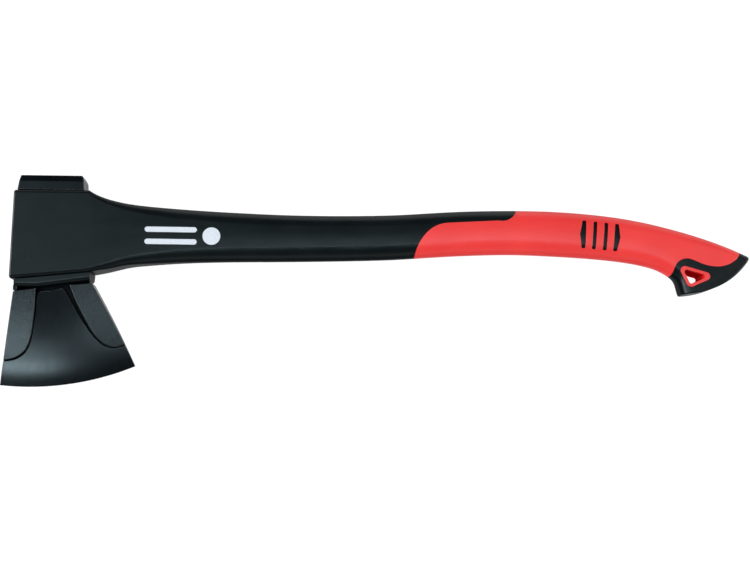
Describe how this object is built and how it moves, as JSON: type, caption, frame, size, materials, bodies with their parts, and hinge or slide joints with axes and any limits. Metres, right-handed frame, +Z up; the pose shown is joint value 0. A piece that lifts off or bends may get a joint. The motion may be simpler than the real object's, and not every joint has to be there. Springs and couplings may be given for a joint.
{
  "type": "splitting axe",
  "caption": "Long-handled splitting axe: forged wedge head with hammer poll, moulded black handle, red soft grip and hooked butt with a hang hole.",
  "frame": {"origin": "bottom centre of the whole axe as it lies on its flat side", "axes": "+X along the handle from head to butt, +Y from the cutting edge to the poll, +Z up through the thickness"},
  "size_m": [0.7028, 0.1964, 0.034],
  "materials": {
    "head_steel": "satin black coated forged steel",
    "cheek_steel": "matt black, finely pitted",
    "pin_steel": "plain steel",
    "black_nylon": "fine moulded grain",
    "glass_fibre": "resin bonded glass fibre",
    "red_rubber": "smooth satin soft-touch"
  },
  "bodies": {
    "root": {"axe_head": "head_steel", "toe_cheek_front": "cheek_steel", "toe_cheek_back": "cheek_steel", "heel_cheek_front": "cheek_steel", "heel_cheek_back": "cheek_steel", "head_lock_pins": "pin_steel", "socket_collar": "black_nylon", "handle_shell": "black_nylon", "fibre_core": "glass_fibre", "soft_grip": "red_rubber", "butt_cap": "black_nylon", "hang_hole_liner": "red_rubber"}
  },
  "joints": []
}
